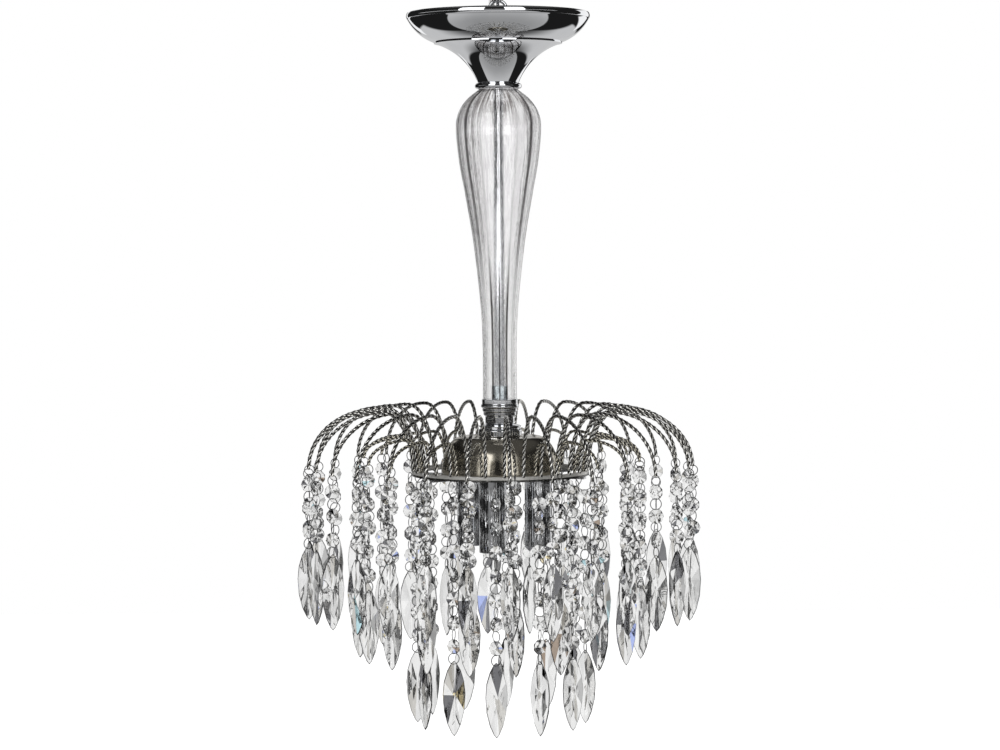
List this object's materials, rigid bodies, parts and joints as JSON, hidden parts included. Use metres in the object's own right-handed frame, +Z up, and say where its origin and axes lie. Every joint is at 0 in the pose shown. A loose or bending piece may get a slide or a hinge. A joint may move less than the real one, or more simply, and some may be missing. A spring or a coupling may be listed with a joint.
{
  "type": "crystal chandelier",
  "caption": "Small waterfall ceiling pendant: chrome dish, ribbed glass stem, and a crown of twisted arms hung with swinging crystal strands round downward lampholders.",
  "frame": {"origin": "the point inside the top chain link where the lamp hangs on its hook", "axes": "+Z up along the stem, -Y to the front, +X to the right seen from the front"},
  "size_m": [0.4025, 0.3952, 0.7783],
  "materials": {
    "polished_chrome": "mirror polished",
    "dark_chrome": "polished, darker",
    "plated_steel": "satin",
    "blown_glass": "clear, ribbed",
    "cut_crystal": "clear, cut facets",
    "ivory_bakelite": "moulded",
    "clear_sheath": "clear sheath",
    "white_plastic": "moulded"
  },
  "bodies": {
    "hanger": {"upper_chain_link": "polished_chrome"},
    "chain": {"lower_chain_link": "polished_chrome"},
    "lamp": {"suspension_eye": "polished_chrome", "canopy_dish": "polished_chrome", "dish_neck_ring": "polished_chrome", "centre_rod": "polished_chrome", "column_collar": "polished_chrome", "hub_bell": "polished_chrome", "lamp_sleeve_1": "polished_chrome", "lamp_sleeve_2": "polished_chrome", "lamp_sleeve_3": "polished_chrome", "hub_dome": "dark_chrome", "outer_arm_crown": "dark_chrome", "dish_clamp": "plated_steel", "coupling_nut": "plated_steel", "rod_nut": "plated_steel", "crown_spider": "plated_steel", "glass_column": "blown_glass", "inner_arm_crown": "cut_crystal", "lampholder_1": "ivory_bakelite", "lampholder_2": "ivory_bakelite", "lampholder_3": "ivory_bakelite", "supply_flex": "clear_sheath", "terminal_block": "white_plastic"},
    "outer_strand_01": {"outer_strand_01": "cut_crystal"},
    "outer_strand_02": {"outer_strand_02": "cut_crystal"},
    "outer_strand_03": {"outer_strand_03": "cut_crystal"},
    "outer_strand_04": {"outer_strand_04": "cut_crystal"},
    "outer_strand_05": {"outer_strand_05": "cut_crystal"},
    "outer_strand_06": {"outer_strand_06": "cut_crystal"},
    "outer_strand_07": {"outer_strand_07": "cut_crystal"},
    "outer_strand_08": {"outer_strand_08": "cut_crystal"},
    "outer_strand_09": {"outer_strand_09": "cut_crystal"},
    "outer_strand_10": {"outer_strand_10": "cut_crystal"},
    "outer_strand_11": {"outer_strand_11": "cut_crystal"},
    "outer_strand_12": {"outer_strand_12": "cut_crystal"},
    "outer_strand_13": {"outer_strand_13": "cut_crystal"},
    "outer_strand_14": {"outer_strand_14": "cut_crystal"},
    "outer_strand_15": {"outer_strand_15": "cut_crystal"},
    "outer_strand_16": {"outer_strand_16": "cut_crystal"},
    "outer_strand_17": {"outer_strand_17": "cut_crystal"},
    "outer_strand_18": {"outer_strand_18": "cut_crystal"},
    "outer_strand_19": {"outer_strand_19": "cut_crystal"},
    "outer_strand_20": {"outer_strand_20": "cut_crystal"},
    "outer_strand_21": {"outer_strand_21": "cut_crystal"},
    "outer_strand_22": {"outer_strand_22": "cut_crystal"},
    "outer_strand_23": {"outer_strand_23": "cut_crystal"},
    "outer_strand_24": {"outer_strand_24": "cut_crystal"},
    "outer_strand_25": {"outer_strand_25": "cut_crystal"},
    "outer_strand_26": {"outer_strand_26": "cut_crystal"},
    "outer_strand_27": {"outer_strand_27": "cut_crystal"},
    "outer_strand_28": {"outer_strand_28": "cut_crystal"},
    "outer_strand_29": {"outer_strand_29": "cut_crystal"},
    "outer_strand_30": {"outer_strand_30": "cut_crystal"}
  },
  "joints": [
    {"name": "link_swing", "type": "hinge", "parent": "hanger", "child": "chain", "pos_m": [0, 0, -0.03], "axis": [1, 0, 0], "range_deg": [-12, 12]},
    {"name": "lamp_swing", "type": "hinge", "parent": "chain", "child": "lamp", "pos_m": [0, 0, -0.0575], "axis": [0, 1, 0], "range_deg": [-12, 12]},
    {"name": "outer_strand_01_swing", "type": "hinge", "parent": "lamp", "child": "outer_strand_01", "pos_m": [0.00904, -0.19179, -0.5186], "axis": [-0.9989, -0.0471, 0], "range_deg": [-10, 35]},
    {"name": "outer_strand_02_swing", "type": "hinge", "parent": "lamp", "child": "outer_strand_02", "pos_m": [0.04872, -0.18571, -0.5186], "axis": [-0.9673, -0.2538, 0], "range_deg": [-10, 35]},
    {"name": "outer_strand_03_swing", "type": "hinge", "parent": "lamp", "child": "outer_strand_03", "pos_m": [0.08627, -0.17153, -0.5186], "axis": [-0.8934, -0.4493, 0], "range_deg": [-10, 35]},
    {"name": "outer_strand_04_swing", "type": "hinge", "parent": "lamp", "child": "outer_strand_04", "pos_m": [0.12005, -0.14984, -0.5186], "axis": [-0.7804, -0.6252, 0], "range_deg": [-10, 35]},
    {"name": "outer_strand_05_swing", "type": "hinge", "parent": "lamp", "child": "outer_strand_05", "pos_m": [0.14858, -0.12161, -0.5186], "axis": [-0.6334, -0.7738, 0], "range_deg": [-10, 35]},
    {"name": "outer_strand_06_swing", "type": "hinge", "parent": "lamp", "child": "outer_strand_06", "pos_m": [0.17061, -0.08806, -0.5186], "axis": [-0.4587, -0.8886, 0], "range_deg": [-10, 35]},
    {"name": "outer_strand_07_swing", "type": "hinge", "parent": "lamp", "child": "outer_strand_07", "pos_m": [0.18519, -0.05066, -0.5186], "axis": [-0.2639, -0.9646, 0], "range_deg": [-10, 35]},
    {"name": "outer_strand_08_swing", "type": "hinge", "parent": "lamp", "child": "outer_strand_08", "pos_m": [0.19168, -0.01105, -0.5186], "axis": [-0.0576, -0.9983, 0], "range_deg": [-10, 35]},
    {"name": "outer_strand_09_swing", "type": "hinge", "parent": "lamp", "child": "outer_strand_09", "pos_m": [0.18979, 0.02904, -0.5186], "axis": [0.1513, -0.9885, 0], "range_deg": [-10, 35]},
    {"name": "outer_strand_10_swing", "type": "hinge", "parent": "lamp", "child": "outer_strand_10", "pos_m": [0.1796, 0.06787, -0.5186], "axis": [0.3535, -0.9354, 0], "range_deg": [-10, 35]},
    {"name": "outer_strand_11_swing", "type": "hinge", "parent": "lamp", "child": "outer_strand_11", "pos_m": [0.16157, 0.10373, -0.5186], "axis": [0.5402, -0.8415, 0], "range_deg": [-10, 35]},
    {"name": "outer_strand_12_swing", "type": "hinge", "parent": "lamp", "child": "outer_strand_12", "pos_m": [0.13647, 0.13505, -0.5186], "axis": [0.7034, -0.7108, 0], "range_deg": [-10, 35]},
    {"name": "outer_strand_13_swing", "type": "hinge", "parent": "lamp", "child": "outer_strand_13", "pos_m": [0.10541, 0.16048, -0.5186], "axis": [0.8358, -0.549, 0], "range_deg": [-10, 35]},
    {"name": "outer_strand_14_swing", "type": "hinge", "parent": "lamp", "child": "outer_strand_14", "pos_m": [0.06974, 0.17888, -0.5186], "axis": [0.9317, -0.3633, 0], "range_deg": [-10, 35]},
    {"name": "outer_strand_15_swing", "type": "hinge", "parent": "lamp", "child": "outer_strand_15", "pos_m": [0.03103, 0.18948, -0.5186], "axis": [0.9869, -0.1616, 0], "range_deg": [-10, 35]},
    {"name": "outer_strand_16_swing", "type": "hinge", "parent": "lamp", "child": "outer_strand_16", "pos_m": [-0.00904, 0.19179, -0.5186], "axis": [0.9989, 0.0471, 0], "range_deg": [-10, 35]},
    {"name": "outer_strand_17_swing", "type": "hinge", "parent": "lamp", "child": "outer_strand_17", "pos_m": [-0.04872, 0.18571, -0.5186], "axis": [0.9673, 0.2538, 0], "range_deg": [-10, 35]},
    {"name": "outer_strand_18_swing", "type": "hinge", "parent": "lamp", "child": "outer_strand_18", "pos_m": [-0.08627, 0.17153, -0.5186], "axis": [0.8934, 0.4493, 0], "range_deg": [-10, 35]},
    {"name": "outer_strand_19_swing", "type": "hinge", "parent": "lamp", "child": "outer_strand_19", "pos_m": [-0.12005, 0.14984, -0.5186], "axis": [0.7804, 0.6252, 0], "range_deg": [-10, 35]},
    {"name": "outer_strand_20_swing", "type": "hinge", "parent": "lamp", "child": "outer_strand_20", "pos_m": [-0.14858, 0.12161, -0.5186], "axis": [0.6334, 0.7738, 0], "range_deg": [-10, 35]},
    {"name": "outer_strand_21_swing", "type": "hinge", "parent": "lamp", "child": "outer_strand_21", "pos_m": [-0.17061, 0.08806, -0.5186], "axis": [0.4587, 0.8886, 0], "range_deg": [-10, 35]},
    {"name": "outer_strand_22_swing", "type": "hinge", "parent": "lamp", "child": "outer_strand_22", "pos_m": [-0.18519, 0.05066, -0.5186], "axis": [0.2639, 0.9646, 0], "range_deg": [-10, 35]},
    {"name": "outer_strand_23_swing", "type": "hinge", "parent": "lamp", "child": "outer_strand_23", "pos_m": [-0.19168, 0.01105, -0.5186], "axis": [0.0576, 0.9983, 0], "range_deg": [-10, 35]},
    {"name": "outer_strand_24_swing", "type": "hinge", "parent": "lamp", "child": "outer_strand_24", "pos_m": [-0.18979, -0.02904, -0.5186], "axis": [-0.1513, 0.9885, 0], "range_deg": [-10, 35]},
    {"name": "outer_strand_25_swing", "type": "hinge", "parent": "lamp", "child": "outer_strand_25", "pos_m": [-0.1796, -0.06787, -0.5186], "axis": [-0.3535, 0.9354, 0], "range_deg": [-10, 35]},
    {"name": "outer_strand_26_swing", "type": "hinge", "parent": "lamp", "child": "outer_strand_26", "pos_m": [-0.16157, -0.10373, -0.5186], "axis": [-0.5402, 0.8415, 0], "range_deg": [-10, 35]},
    {"name": "outer_strand_27_swing", "type": "hinge", "parent": "lamp", "child": "outer_strand_27", "pos_m": [-0.13647, -0.13505, -0.5186], "axis": [-0.7034, 0.7108, 0], "range_deg": [-10, 35]},
    {"name": "outer_strand_28_swing", "type": "hinge", "parent": "lamp", "child": "outer_strand_28", "pos_m": [-0.10541, -0.16048, -0.5186], "axis": [-0.8358, 0.549, 0], "range_deg": [-10, 35]},
    {"name": "outer_strand_29_swing", "type": "hinge", "parent": "lamp", "child": "outer_strand_29", "pos_m": [-0.06974, -0.17888, -0.5186], "axis": [-0.9317, 0.3633, 0], "range_deg": [-10, 35]},
    {"name": "outer_strand_30_swing", "type": "hinge", "parent": "lamp", "child": "outer_strand_30", "pos_m": [-0.03103, -0.18948, -0.5186], "axis": [-0.9869, 0.1616, 0], "range_deg": [-10, 35]}
  ]
}
